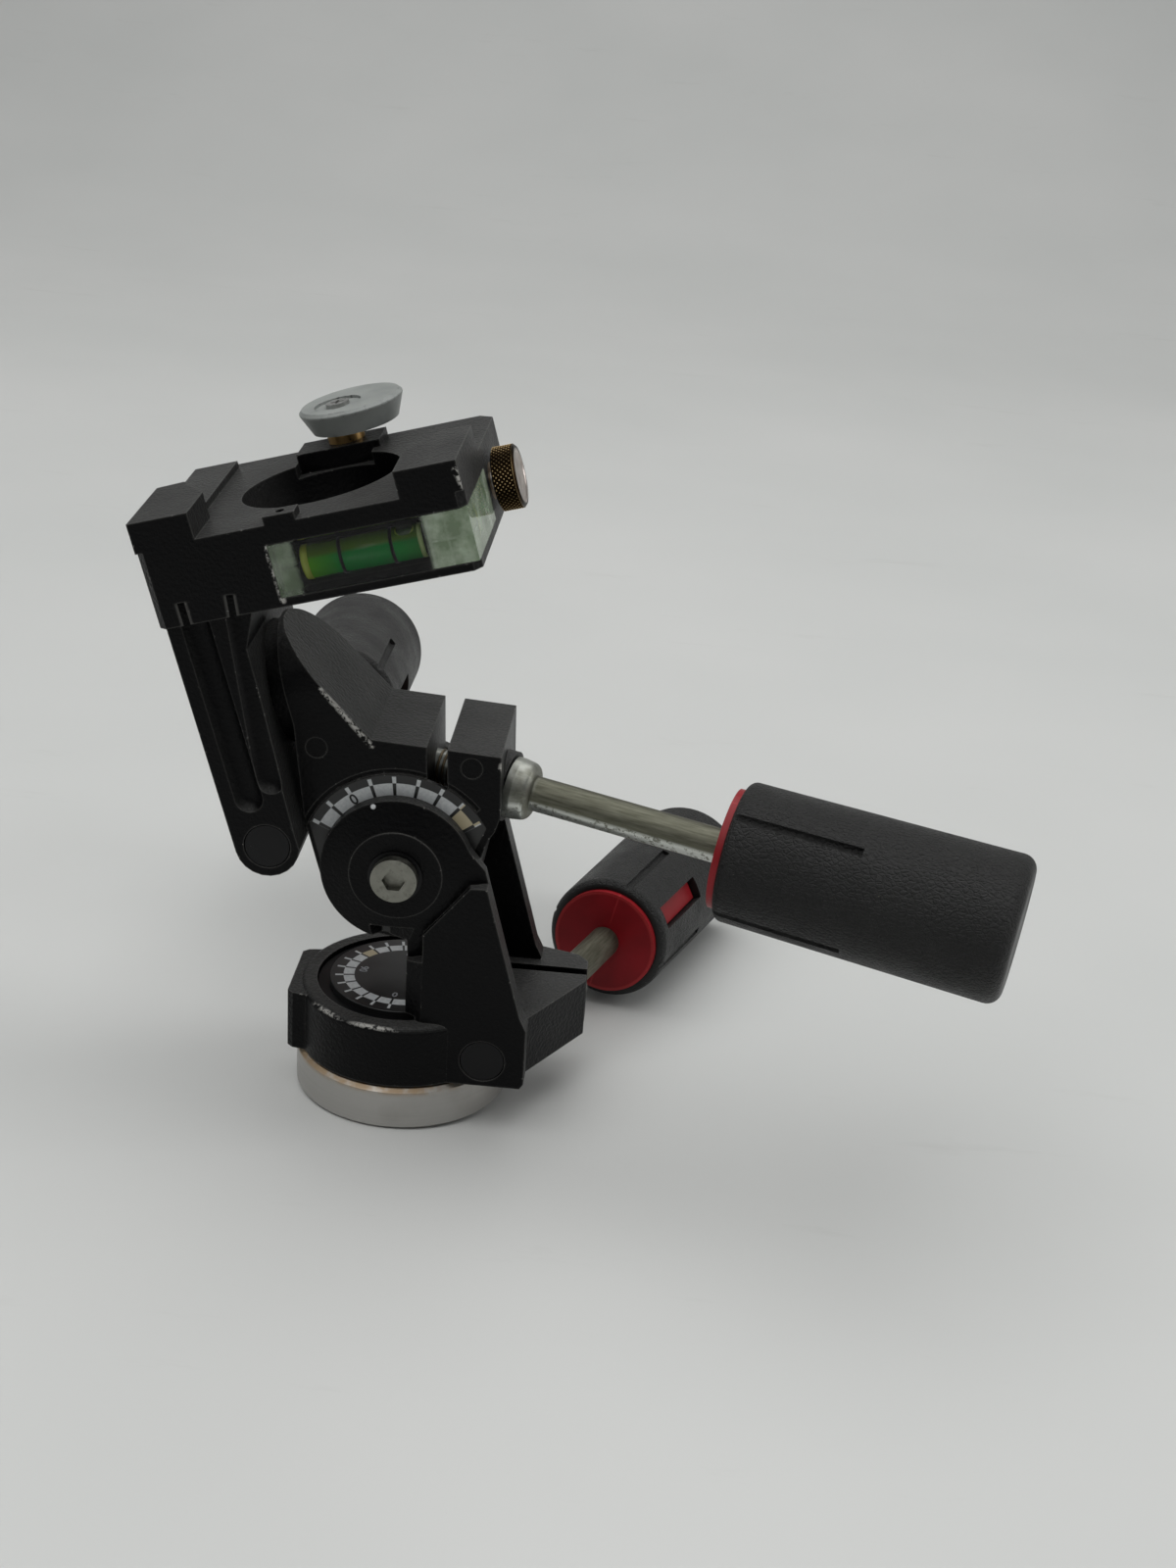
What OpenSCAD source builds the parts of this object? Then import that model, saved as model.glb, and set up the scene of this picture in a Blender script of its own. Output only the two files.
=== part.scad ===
// Three way pan tilt head with a hexagonal quick release receiver.
// Z is up, the origin is the centre of the base's underside, the tilt handle points along +X
// (the operator's side) and Y is the front tilt axis. Drawn tilted forward by rest_tilt.

/* [Base] */
// Diameter of the base disc
base_d = 60; // [50:0.5:75]
// Height of the base disc
base_h = 12.5; // [9:0.5:16]
// Diameter of the 3/8 inch tripod thread
thread_d = 9.525; // [6.35:0.005:12.7]
// Outside diameter of the threaded insert
insert_d = 16; // [14:0.5:20]
// Radius of the pan spindle
spindle_r = 21; // [17:0.5:24]
// Diameter of the pan dial
dial_d = 42; // [34:0.5:46]

/* [Pan yoke] */
// Diameter of the pan housing
housing_d = 58.6; // [55:0.2:72]
// Top of the pan housing above the ground
housing_top = 31.4; // [28:0.2:36]
// Height of the front tilt axis above the ground
axis_h = 75.3; // [72:0.1:90]
// Gap between the two ears
ear_gap = 37; // [34:0.5:44]
// Thickness of an ear
ear_t = 6.3; // [4:0.1:9]
// Radius of the ears' round bosses
boss_r = 20.6; // [18:0.1:24]
// Reach of the pan clamp's lug along X
lug_x = 50.6; // [47:0.1:58]
// Width of the slit in each split clamp
slit_w = 3.4; // [2:0.1:5]

/* [Tilt block] */
// Forward tilt of the head as drawn, in degrees
rest_tilt = 16; // [0:1:25]
// Radius of the tilt drum
drum_r = 13.4; // [10:0.1:14]
// Wall of each clamp sleeve
sleeve_t = 1.4; // [0.8:0.1:2.5]
// Radius of the scale plate
scale_r = 26.2; // [24:0.1:27]
// Height of the side tilt axis above the front tilt axis
side_h = 51; // [49:0.1:54]
// Radius of the side tilt stem
stem_r = 12; // [9:0.1:13]
// Width of the slit between the tilt block's lugs
lug_slit = 5.4; // [3:0.1:7]

/* [Camera bracket] */
// Length of the platform
plat_l = 84; // [78:0.1:100]
// Depth of the platform
plat_w = 68; // [66:0.1:90]
// Thickness of the platform
plat_t = 21.3; // [19:0.1:28]
// Underside of the platform above the front tilt axis
plat_h = 81.3; // [80:0.1:90]
// Height of the two corner lugs
lug_h = 6.9; // [4:0.1:9]
// Distance between opposite sides of the hexagonal plate
hex_af = 50; // [46:0.1:56]
// Radius of the opening in the platform
hole_r = 21.1; // [15:0.1:22]
// Depth of the leg
leg_w = 56; // [50:0.5:66]
// Height of the spirit level's window
level_h = 14; // [10:0.1:15]

/* [Lock] */
// Largest radius of the locking cam
cam_r = 14.2; // [11:0.1:16]
// Height of the locking cam
cam_h = 6.8; // [5:0.1:10]
// Offset of the cam from its shaft
cam_off = 3.7; // [2:0.1:4.5]
// Diameter of the brass catch knob
knob_d = 17; // [12:0.1:18]
// Thickness of the catch knob
knob_t = 6.4; // [4:0.1:8]

/* [Handles] */
// Diameter of the handle rods
rod_d = 9.5; // [8:0.1:11]
// Distance from the tilt clamp to the grip
tilt_reach = 60.5; // [45:0.5:75]
// Distance from the pan clamp to the grip
pan_reach = 40; // [35:0.5:75]
// Distance from the side clamp to the grip
side_reach = 60.5; // [45:0.5:75]
// Length of a grip
grip_l = 79; // [60:0.5:110]
// Diameter of a grip at the rod's end
grip_d = 38; // [34:0.1:44]
// Diameter of a grip at its closed end
grip_end_d = 39.8; // [34:0.1:46]
// Diameter of the plastic core inside a grip
core_d = 31; // [24:0.1:32]

/* [Hidden] */
$fn = 96;
e = 0.01;                       // overshoot of a cut
run = 0.05;                     // radial clearance of a running fit
gap = 0.3;                      // clearance between faces that move past each other
hole_gap = 0.4;                 // radial clearance of a screw in a clamp's jaws

// ---- base
base_r = base_d / 2;
house_z = base_h + 0.8;         // underside of the pan housing
spindle_top = housing_top - 3.9;
retainer_r = spindle_r + 3.2;
retainer_t = 2.7;
dial_top = housing_top + 0.6;
sleeve_r = spindle_r + run + sleeve_t;
spindle_screw_r = 3;
spindle_screw_web = 2;
spindle_screw_pcr = insert_d / 2 + spindle_screw_web + spindle_screw_r;

// ---- yoke
ear_in = ear_gap / 2;
ear_out = ear_in + ear_t;
housing_r = housing_d / 2;
arm_foot_x = 36.8;              // the arm's right edge at its foot
arm_lean = 0.271;               // how far the arm's right edge leans per millimetre of height
arm_step = 1.9;
arm_left = 3.3;
arm_chamfer = 4.6;
cone_r = 12.5;                  // flat middle of the boss
cone_drop = 2.6;
tab_x = -31;                    // end of the flat ended tab
clamp_z = 18.4;                 // height of the pan clamp screw at the seat
pan_slit_y = 13.6;
plug_r = 6.2;
plug_t = 2.2;
plug_gap = 0.3;
plug_sunk = 0.2;
pan_plug_x = 25.2;
pan_plug_z = 21;
bolt_r = 4;
bolt_head_r = 6.2;
bolt_head_h = 2.6;
washer_r = 7.3;
washer_t = 0.6;
socket_r = 3.1;

// ---- handles: place of the seat, azimuth and elevation
pan_az = 73;
pan_el = -4.9;
tilt_az = -14.4;
tilt_el = -21.3;
side_az = 94.6;
side_el = -6.4;
pan_seat = [41.1, 24, clamp_z];
tilt_seat = [31.9, -3.6, 10.8];
side_axis_x = -30.4;
side_clamp_z = 16;
side_seat = [side_axis_x, leg_w / 2 - 1, side_clamp_z];
screw_r = 4.6;
seat_r = 9.6;
hub_r = 8.4;
hub_l = 6;
screw_l = 27;                   // length of a clamp screw in its lugs
pan_thread_z = 14;              // depth where the lug's thread starts
tilt_thread_z = 22;
side_thread_z = 26;
core_in = 34;                   // how far the rod goes into the grip
core_end = 3;                   // rubber beyond the core at the closed end
collar_t = 1.9;                 // red collar at the rod's end
groove_n = 4;
groove_r = 1.2;
groove_l = 35;
window_z = 6.8;                 // window in the rubber, with a pad of the core standing in it
window_w = 7;
window_l = 29.8;
core_pad_w = 5.6;
core_pad_l = 28;
pad_top = 17;                   // radius of the pad's flat top
pan_window = -119;              // direction of the window round each handle
tilt_window = 78;
side_window = -73;

// ---- tilt block
block_y = ear_in - gap;
block_r = 21.6;
bore_r = drum_r + run + sleeve_t;
lug_slope = 19.6;               // the lugs' tops fall away toward the operator
lug_tip = [34.4, 25.2];
lug_heel = [2, 36.6];
slit_x = 18.3;
slit_z = 30.5;
slit_a = 76;
slit_l = 26;
saddle_k = 1.8;                 // the saddle face lies on z + saddle_k * x = saddle_c
saddle_c = 40.2;
crest_x = -17.1;
crest_z = 69.2;
hub_x = -22;                    // face of the side tilt hub
side_hub_r = 16.4;
stem_end = -33;                 // left end of the side tilt stem
spigot_r = 9;
spigot_l = 4.5;
side_bolt_r = 2.5;
scale_t = 1.2;
ring_r = 28;                     // outer radius of the groove round the scale
ring_depth = 0.8;
mould_marks = [[-12.9, 37.1], [26, 23.6]];
mark_r = 2.9;

// ---- bracket
plat_x = -39;                   // left face of the platform and of the leg
plat_end = plat_x + plat_l;
plat_mid = plat_x + plat_l / 2 + 0.05;
seat_h = plat_h + plat_t;       // face that the camera plate rests on
wy = plat_w / 2;

// ---- lock
cam_x = 5.2;
cam_y = 29.4;
cam_a = 33;                     // direction of the cam's offset, open
lock_turn = -90;                // turn of the lever from open to locked
pivot_r = 6.5;
lever_r = 5.6;
lever_l = 36;
lever_w = 8;
bush_r = 4.4;
bush_h = 2.9;                   // how far the bush stands above its pad
cam_screw_r = 2;
dish_r = 6.4;
dish = 0.7;                     // depth of the dish in the cam's top
pad_h = 2.1;                    // raised pad round the cam's shaft
pad_w = 23;
pad_y = 22;
cam_z = seat_h + pad_h + bush_h + gap;
shaft_r = 2.9;
lever_z = plat_h + 6.5;
lever_t = 6.5;
knob_y = wy - 26.5;
knob_z = plat_h + 10.2;
knob_x = plat_end + 1.2;
pin_r = 2.4;
pin_tip = 20.5;                 // the pin's tip stands out into the opening
spring_r = 3.6;
spring_wire = 0.7;
spring_turns = 6;
coil_steps = 16;
coil_sides = 6;
bush_l = 4.5;
pocket_r = 4.9;
pocket_x = 26;
spring_l = plat_end - bush_l - pocket_x - 2.4;

// ---- rest of the bracket
hex_a = hex_af / 2;
// centre of the hexagonal plate: the locked cam presses on its far side
hex_y = cam_y + cam_off * sin(cam_a + lock_turn) - cam_r + 0.7 - hex_a;
lug_in = 26.2;
shelf_x = -26;
vial_in = 5;
side_slit_y = 7.5;
flute_r = 4.2;
flute_out = 1.9;                // how far a flute's axis lies outside the leg's face
flute_x = -31.4;
flute_z = 30;
ridge_x = -24.4;
ridge_lean = 6.2;
side_sleeve_r = stem_r + run + sleeve_t;
leg_y = leg_w / 2;
leg_foot_r = 8.6;
leg_x = hub_x - gap;            // inner face of the leg
level_z = plat_h + 2.2;
level_x = -6.1;
level_d = 9.5;
level_gap = 0.15;
level_side_y = -0.5;
vial_r = 4.1;
vial_z = level_z + level_h / 2;
long_vial_x = [1, 32.3];
pocket_front = 2.2;             // plastic left in front of the block's moulded pockets
short_vial_y = [-24, -4];

// ================= helpers
// Frame of everything that tilts: the origin is the middle of the tilt axis.
module tilted() translate([0, 0, axis_h]) rotate([0, -rest_tilt, 0]) children();

// A flat outline drawn in X and Z, given depth from y0 to y1.
module xz(y0, y1) translate([0, y1, 0]) rotate([90, 0, 0]) linear_extrude(y1 - y0) children();

// Cylinder along Y from y0 to y1, and along X from x0 to x1.
module cyl_y(r, y0, y1) translate([0, y0, 0]) rotate([-90, 0, 0]) cylinder(r = r, h = y1 - y0);
module cyl_x(r, x0, x1) translate([x0, 0, 0]) rotate([0, 90, 0]) cylinder(r = r, h = x1 - x0);

module box(x0, x1, y0, y1, z0, z1) translate([x0, y0, z0]) cube([x1 - x0, y1 - y0, z1 - z0]);

// Puts +Z along a handle's axis at its seat.
module aim(p, az, el) translate(p) rotate([0, 90 - el, az]) children();

// Points of a quarter round of radius r about c, from angle a0 to a1.
function arc(c, r, a0, a1, n = 8) =
    [for (i = [0:n]) [c[0] + r * cos(a0 + (a1 - a0) * i / n), c[1] + r * sin(a0 + (a1 - a0) * i / n)]];

// Solid of revolution with a rounded top edge.
module rounded_disc(r, z0, z1, f) rotate_extrude()
    polygon(concat([[0, z0], [r, z0]], arc([r - f, z1 - f], f, 0, 90, 6), [[0, z1]]));

// ================= base
module base_plate() color([0.72, 0.71, 0.68]) difference() {
    rotate_extrude() polygon([[0, 0], [insert_d / 2 + 1, 0], [insert_d / 2 + 1.4, 0.7], [base_r - 11.8, 0.7],
        [base_r - 11.4, 0], [base_r - 0.8, 0], [base_r, 0.8],
        [base_r, base_h - 1], [base_r - 1, base_h], [0, base_h]]);
    translate([0, 0, -e]) cylinder(d = insert_d, h = base_h + 1);
    for (a = [90, 210, 330]) rotate(a) translate([spindle_screw_pcr, 0, 0]) {
        translate([0, 0, -e]) cylinder(r = spindle_screw_r, h = base_h + 1);
        translate([0, 0, -e]) cylinder(r = spindle_screw_r + 1.9, h = 5 + e);
    }
}

module tripod_insert() color([0.6, 0.6, 0.58]) difference() {
    union() {
        cylinder(d = insert_d, h = base_h);
        translate([0, 0, base_h]) cylinder(d = insert_d + 3, h = 2.5);
    }
    translate([0, 0, -1]) cylinder(d = thread_d, h = base_h + 5);
}

module pan_spindle() color([0.66, 0.66, 0.65]) difference() {
    union() {
        translate([0, 0, base_h]) cylinder(r = spindle_r, h = spindle_top - base_h);
        translate([0, 0, base_h]) cylinder(r = spindle_r + 2, h = 0.5);
    }
    translate([0, 0, base_h - e]) cylinder(d = insert_d + 3, h = 2.5 + e);
    translate([0, 0, base_h + 2]) cylinder(d = thread_d + 1.5, h = spindle_top - base_h - 5);
    for (a = [90, 210, 330]) rotate(a) translate([spindle_screw_pcr, 0, base_h - e])
        cylinder(r = spindle_screw_r, h = 8);
}

// Three countersunk screws that hold the spindle to the base disc.
module spindle_screws() color([0.55, 0.55, 0.55])
    for (a = [90, 210, 330]) rotate(a) translate([spindle_screw_pcr, 0, 0]) difference() {
        union() {
            translate([0, 0, 2]) cylinder(r = spindle_screw_r + 1.8, h = 3);
            translate([0, 0, 4]) cylinder(r = spindle_screw_r - 0.05, h = base_h + 2);
        }
        translate([0, 0, 2 - e]) cylinder(r = 2, h = 2, $fn = 6);
    }

// Washer on top of the spindle that keeps the housing down.
module pan_retainer() color([0.1, 0.1, 0.1]) translate([0, 0, spindle_top]) cylinder(r = retainer_r, h = retainer_t);

module pan_dial() color([0.08, 0.08, 0.08]) translate([0, 0, spindle_top + retainer_t])
    rounded_disc(dial_d / 2, 0, dial_top - spindle_top - retainer_t, 0.3);

// ================= pan yoke
// One ear seen from the front: round boss, shoulder and leaning arm.
module ear_outline() {
    translate([0, axis_h]) circle(r = boss_r);
    polygon([[arm_left, house_z], [arm_foot_x - 1, house_z], [arm_foot_x, house_z + 1.5],
        [arm_foot_x, housing_top], [arm_foot_x - arm_step, housing_top + 4],
        [arm_foot_x - arm_step - arm_lean * (axis_h - housing_top - 2), axis_h + 2],
        [boss_r - 1.4, axis_h + 7.5], [0, axis_h], [arm_left, axis_h - 10]]);
}

module ear(side) {
    y_in = side < 0 ? -ear_in : ear_in;
    y_out = side < 0 ? -ear_out : ear_out;
    difference() {
        xz(min(y_in, y_out), max(y_in, y_out)) ear_outline();
        // the boss slopes back round its flat middle, except where the arm joins it
        difference() {
            translate([0, y_out, axis_h]) rotate([side * -90, 0, 0]) rotate_extrude() polygon([[cone_r, e],
                [boss_r + 6, e], [boss_r + 6, -cone_drop * 1.7], [boss_r, -cone_drop], [cone_r, -0.4]]);
            xz(-ear_out - 1, ear_out + 1) polygon([[arm_left + arm_chamfer, 0], [60, 0], [60, axis_h],
                [20, axis_h - 2], [12, axis_h - 12], [arm_left + arm_chamfer, axis_h - 17]]);
        }
        // long chamfer down the arm's left edge
        translate([arm_left, y_out - side * arm_chamfer * tan(32), 0]) rotate([0, 0, side * 32])
            translate([-8, side < 0 ? -10 : 0, house_z + 14]) cube([15, 10, axis_h - house_z - 30]);
        // recess for the bolt
        translate([0, 0, axis_h]) cyl_y(bolt_r + 0.2, -ear_out - 1, ear_out + 1);
    }
}

module pan_yoke() color([0.05, 0.05, 0.06]) difference() {
    union() {
        rounded_disc(housing_r, house_z, housing_top, 2);
        // flat ended tab
        translate([0, 0, house_z]) linear_extrude(housing_top - 0.6 - house_z)
            polygon([[-18, -15.5], [tab_x + 1.6, -13.5], [tab_x, -12], [tab_x, 10.5], [tab_x + 1.6, 12], [-18, 14]]);
        // clamp lug
        translate([0, 0, house_z]) linear_extrude(housing_top - 0.9 - house_z) polygon([[0, -ear_out], [30, -ear_out],
            [35.6, -17], [lug_x, 8.5], [lug_x - 0.3, 20], [lug_x - 3.4, 23.7], [34.7, 27.4], [20, 27], [8, 28]]);
        for (side = [-1, 1]) ear(side);
    }
    // bore for the sleeve, and the counterbore for the retainer and dial
    translate([0, 0, house_z - e]) cylinder(r = sleeve_r, h = housing_top - house_z);
    translate([0, 0, spindle_top - gap]) cylinder(r = retainer_r + gap, h = dial_top + 2 * gap - spindle_top + gap);
    // slit of the clamp, clear of the far ear
    box(sleeve_r - 3, lug_x + 1, pan_slit_y - slit_w / 2, pan_slit_y + slit_w / 2, house_z - e, housing_top + e);
    // clamp screw: clear through the outer lug, threaded in the inner one
    aim(pan_seat, pan_az, pan_el) {
        translate([0, 0, -pan_thread_z]) cylinder(r = screw_r + hole_gap, h = pan_thread_z + e);
        translate([0, 0, -screw_l - 2]) cylinder(r = screw_r + run, h = screw_l);
        cylinder(r = seat_r, h = 20);
    }
    translate([pan_plug_x, 0, pan_plug_z]) cyl_y(plug_r, -ear_out - e, -ear_out + plug_t);
}

// Split bush of slippery plastic between the spindle and the housing.
module pan_sleeve() color([0.85, 0.84, 0.8]) difference() {
    translate([0, 0, house_z]) cylinder(r = sleeve_r, h = spindle_top - gap - house_z);
    translate([0, 0, house_z - 1]) cylinder(r = spindle_r + run, h = 40);
    box(10, 40, pan_slit_y - slit_w / 2, pan_slit_y + slit_w / 2, 0, 60);
}

module pan_plug() color([0.04, 0.04, 0.04]) translate([pan_plug_x, 0, pan_plug_z])
    cyl_y(plug_r - plug_gap, -ear_out + plug_sunk, -ear_out + plug_t);

// ---- shaft and nut through the ears
module tilt_drum() color([0.5, 0.45, 0.4]) translate([0, 0, axis_h]) difference() {
    cyl_y(drum_r, -ear_in, ear_in);
    cyl_y(bolt_r + 0.2, -ear_in - 1, ear_in + 1);
}

module tilt_bolt() color([0.4, 0.4, 0.4]) translate([0, 0, axis_h]) difference() {
    union() {
        cyl_y(bolt_r, -ear_out - washer_t, ear_out + 8);
        cyl_y(bolt_head_r, -ear_out - washer_t - bolt_head_h, -ear_out - washer_t);
    }
    translate([0, -ear_out - washer_t - bolt_head_h - e, 0]) rotate([-90, 0, 0])
        cylinder(r = socket_r, h = bolt_head_h - 0.6, $fn = 6);
}

// Two washers, one under the bolt's head and one under its nut.
module tilt_washers() color([0.1, 0.1, 0.1]) for (side = [-1, 1])
    translate([0, side < 0 ? -ear_out - washer_t : ear_out, axis_h]) difference() {
        cyl_y(washer_r, 0, washer_t);
        cyl_y(bolt_r + 0.2, -1, washer_t + 1);
    }

module tilt_nut() color([0.5, 0.5, 0.5]) translate([0, ear_out + washer_t, axis_h]) difference() {
    rotate([-90, 0, 0]) cylinder(r = bolt_head_r, h = bolt_head_h, $fn = 6);
    cyl_y(bolt_r, -1, bolt_head_h + 1);
}

// ================= tilt block
// The block seen from the front, in the tilted frame.
module block_outline() polygon(concat(arc([0, 0], block_r, 180, 352, 24), [[25.6, 2.9], [27.6, 4.6], [30.1, 8.5],
    lug_tip, lug_heel, [(saddle_c - crest_z) / saddle_k, crest_z], [crest_x, crest_z], [crest_x, 44.3],
    [-21.5, 17.7], [-block_r, 5.3]]));

// Slit of the tilt clamp, from the lugs' tops down to the bore.
module tilt_slit() translate([slit_x, 0, slit_z]) rotate([0, 90 - slit_a, 0])
    box(-lug_slit / 2, lug_slit / 2, -ear_in - 1, ear_in + 1, -slit_l, 12);

module tilt_block() color([0.06, 0.06, 0.07]) tilted() difference() {
    union() {
        intersection() {
            xz(-block_y, block_y) block_outline();
            union() {
                box(-60, 60, -block_y, block_y, -40, side_h);
                translate([0, 0, side_h]) cyl_x(block_y, -60, 60);
            }
        }
        // hub that the bracket turns against
        translate([0, 0, side_h]) cyl_x(side_hub_r, hub_x, crest_x + 1);
        // boss behind the tilt handle
        intersection() {
            aim(tilt_seat, tilt_az, tilt_el) translate([0, 0, -10]) cylinder(r = seat_r, h = 10);
            box(0, 60, -block_y, block_y, -40, 60);
        }
    }
    cyl_y(bore_r, -ear_in - 1, ear_in + 1);
    tilt_slit();
    // recess of the scale plate and the groove round it
    translate([0, -block_y - e, 0]) {
        xz(0, scale_t + e) scale_plan();
        xz(0, ring_depth) intersection() {
            difference() {
                circle(r = ring_r);
                circle(r = scale_r + 0.5);
            }
            polygon([[0, 0], [-30, 20], [-30, 40], [30, 40], [30, 14]]);
        }
    }
    // round marks left by the mould
    for (p = mould_marks) translate([p[0], 0, p[1]]) cyl_y(mark_r, -block_y - e, -block_y + 0.3);
    // clamp screw: clear through the outer lug, threaded in the inner one
    aim(tilt_seat, tilt_az, tilt_el) {
        translate([0, 0, -tilt_thread_z]) cylinder(r = screw_r + hole_gap, h = tilt_thread_z + e);
        translate([0, 0, -screw_l - 2]) cylinder(r = screw_r + run, h = screw_l);
        cylinder(r = seat_r, h = 20);
    }
    // seat of the side stem
    translate([0, 0, side_h]) {
        cyl_x(spigot_r, hub_x - e, hub_x + spigot_l);
        cyl_x(side_bolt_r, hub_x - e, hub_x + 12);
    }
}

module tilt_sleeve() color([0.85, 0.84, 0.8]) tilted() difference() {
    cyl_y(bore_r, -block_y + scale_t, block_y);
    cyl_y(drum_r + run, -ear_in - 1, ear_in + 1);
    tilt_slit();
}

// Outline of the scale plate: a disc cut off by the block's left edge.
module scale_plan() difference() {
    union() {
        circle(r = block_r - 1.2);
        intersection() {
            circle(r = scale_r);
            polygon([[-block_r + 1.2, 0], [block_r - 1.2, 0], [24.6, 5], [30, 12], [30, 30], [-14, 30], [-20.3, 17]]);
        }
    }
    circle(r = bore_r - sleeve_t);
}
module tilt_scale() color([0.1, 0.1, 0.1]) tilted() translate([0, -block_y, 0]) xz(0, scale_t) scale_plan();

// Stem that the bracket turns on, with a spigot in the block.
module side_stem() color([0.6, 0.6, 0.6]) tilted() translate([0, 0, side_h]) difference() {
    union() {
        cyl_x(stem_r, stem_end, hub_x);
        cyl_x(spigot_r, hub_x - e, hub_x + spigot_l);
    }
    cyl_x(side_bolt_r, stem_end - 1, hub_x + spigot_l + 1);
}
module side_retainer() color([0.6, 0.55, 0.4]) tilted() translate([0, 0, side_h]) difference() {
    cyl_x(side_sleeve_r + 0.9, stem_end - 1.6, stem_end);
    cyl_x(side_bolt_r, stem_end - 3, stem_end + 1);
}
module side_bolt() color([0.5, 0.5, 0.5]) tilted() translate([0, 0, side_h]) difference() {
    union() {
        cyl_x(side_bolt_r, stem_end - 1.6, hub_x + 11);
        cyl_x(side_bolt_r + 3, stem_end - 3.8, stem_end - 1.6);
    }
    translate([stem_end - 3.8 - e, 0, 0]) rotate([0, 90, 0]) cylinder(r = 2.4, h = 1.6, $fn = 6);
}

// ================= camera bracket
// The leg seen from the front.
module leg_outline() polygon(concat(arc([side_axis_x, side_clamp_z], leg_foot_r, 180, 342, 10),
    [[leg_x, 18.4], [leg_x + 1.2, 60], [leg_x + 1.3, 69.5], [-15.6, plat_h], [-15.6, plat_h + 2],
    [plat_x, plat_h + 2]]));

// Half the opening between the lugs at depth y: the lugs' slanted faces are two sides of a hexagon.
function half_open(y) = (hex_a + (y - hex_y) / 2) / cos(30);

// Corner lug that holds the hexagonal plate, drawn for the left and mirrored for the right.
module corner_lug(half, end_y) translate([plat_mid, 0, seat_h - 1]) linear_extrude(lug_h + 1) polygon([[-half, -wy],
    [-half, end_y], [-half_open(end_y + 1), end_y + 1],
    [-lug_in, hex_y + 2 * (lug_in * cos(30) - hex_a)], [-lug_in, -wy]]);

module plat_plan() polygon([[plat_x, -wy + 2], [plat_x + 2, -wy], [plat_end - 2, -wy], [plat_end, -wy + 2],
    [plat_end, wy - 4], [plat_end - 4, wy], [plat_x + 4, wy], [plat_x, wy - 4]]);

// The level's corner block: grown by extra past the platform's faces, smaller all round by less.
module level_space(extra, less) {
    box(level_x + less, plat_end + extra, -wy - extra, -wy + level_d, level_z + less, level_z + level_h - less);
    box(plat_end - level_d, plat_end + extra, -wy - extra, level_side_y - less, level_z + less,
        level_z + level_h - less);
}

module camera_bracket() color([0.05, 0.05, 0.06]) tilted() difference() {
    union() {
        translate([0, 0, plat_h]) linear_extrude(plat_t) plat_plan();
        xz(-leg_y, leg_y) leg_outline();
        // boss round the cam's shaft
        translate([cam_x, cam_y, plat_h]) cylinder(r = pivot_r, h = plat_t + pad_h);
        box(-pad_w / 3, pad_w * 2 / 3, pad_y, wy, seat_h - 1, seat_h + pad_h);
        // low shelf on the left
        box(plat_x + 1, shelf_x, -wy + 1, wy - 4, seat_h - 1, seat_h + 1.9);
        corner_lug(plat_l / 2, -3);
        mirror_mid() corner_lug(plat_l / 2, -3);
        // small boss on the near edge
        box(-5.2, 2.9, -wy, -wy + 6, seat_h - 1, seat_h + pad_h);
    }
    // opening in the platform and its notch
    translate([plat_mid, 0, plat_h - 1]) cylinder(r = hole_r, h = plat_t + 10);
    box(-pad_w / 3 - e, pad_w * 0.58, 0, pad_y + e, seat_h - 3.4, seat_h + 9);
    translate([-1.2, -wy + 3.2, seat_h - 4]) cylinder(r = 1.3, h = 10);
    level_space(1, 0);
    // side clamp: bore, slit and screw
    translate([0, 0, side_h]) {
        cyl_x(side_hub_r + gap, leg_x, 0);
        cyl_x(side_sleeve_r, plat_x - 1, 0);
        cyl_x(side_sleeve_r + 1.2, plat_x - 1, stem_end + gap);
    }
    box(plat_x - 1, -10, side_slit_y - slit_w / 2, side_slit_y + slit_w / 2, 0, side_h - side_sleeve_r + 2);
    // flutes down the leg's two narrow faces
    for (side = [-1, 1]) {
        flute([flute_x, side * (leg_y + flute_out), flute_z], 0);
        flute([ridge_x, side * (leg_y + flute_out), flute_z + 4], ridge_lean);
    }
    aim(side_seat, side_az, side_el) {
        translate([0, 0, -side_thread_z]) cylinder(r = screw_r + hole_gap, h = side_thread_z + e);
        translate([0, 0, -screw_l - 9]) cylinder(r = screw_r + run, h = screw_l + 7);
        cylinder(r = seat_r, h = 20);
    }
    translate([side_axis_x, 0, side_clamp_z]) cyl_y(plug_r, -leg_y - e, -leg_y + plug_t);
    // lock: bush of the shaft and slot of the lever
    translate([cam_x, cam_y, plat_h + 1]) cylinder(r = bush_r, h = 60);
    translate([cam_x, cam_y, lever_z - gap]) cylinder(r = lever_r + gap, h = lever_t + 2 * gap);
    box(cam_x - lever_r - gap, plat_end + 1, cam_y - lever_r - gap, wy + 4, lever_z - gap, lever_z + lever_t + gap);
    // pocket of the catch pin
    translate([0, knob_y, knob_z]) {
        cyl_x(pocket_r, pocket_x, plat_end + 1);
        cyl_x(pin_r + run, 0, plat_end);
    }
}

// Long rounded groove that starts at p and leans to the right by a degrees.
module flute(p, a) translate(p) rotate([0, a, 0]) {
    cylinder(r = flute_r, h = plat_h - p[2] + 6);
    sphere(r = flute_r);
}
module mirror_mid() translate([2 * plat_mid, 0, 0]) mirror([1, 0, 0]) children();

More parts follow.
